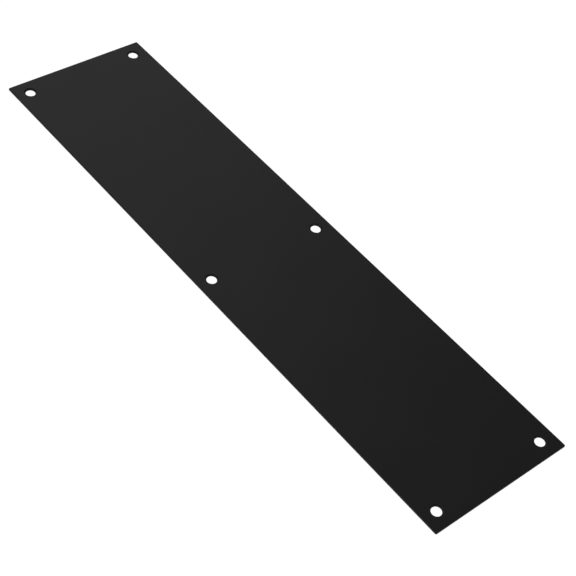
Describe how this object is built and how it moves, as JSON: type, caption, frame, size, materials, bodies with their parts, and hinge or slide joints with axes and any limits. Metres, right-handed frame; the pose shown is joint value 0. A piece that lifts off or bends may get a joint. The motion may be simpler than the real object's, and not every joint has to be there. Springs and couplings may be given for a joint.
{
  "type": "kick plate",
  "caption": "Flat rectangular sheet-metal door plate, matt black, with countersunk screw holes near both long edges.",
  "frame": {"origin": "centre of the back face, the face that goes against the door", "axes": "+X along the length, +Y across the width, +Z out of the front face, away from the door"},
  "size_m": [0.4064, 0.1016, 0.0013],
  "materials": {
    "plate": "matt near-black paint or powder coat with a fine, even texture"
  },
  "bodies": {
    "root": {"plate": "plate"}
  },
  "joints": []
}
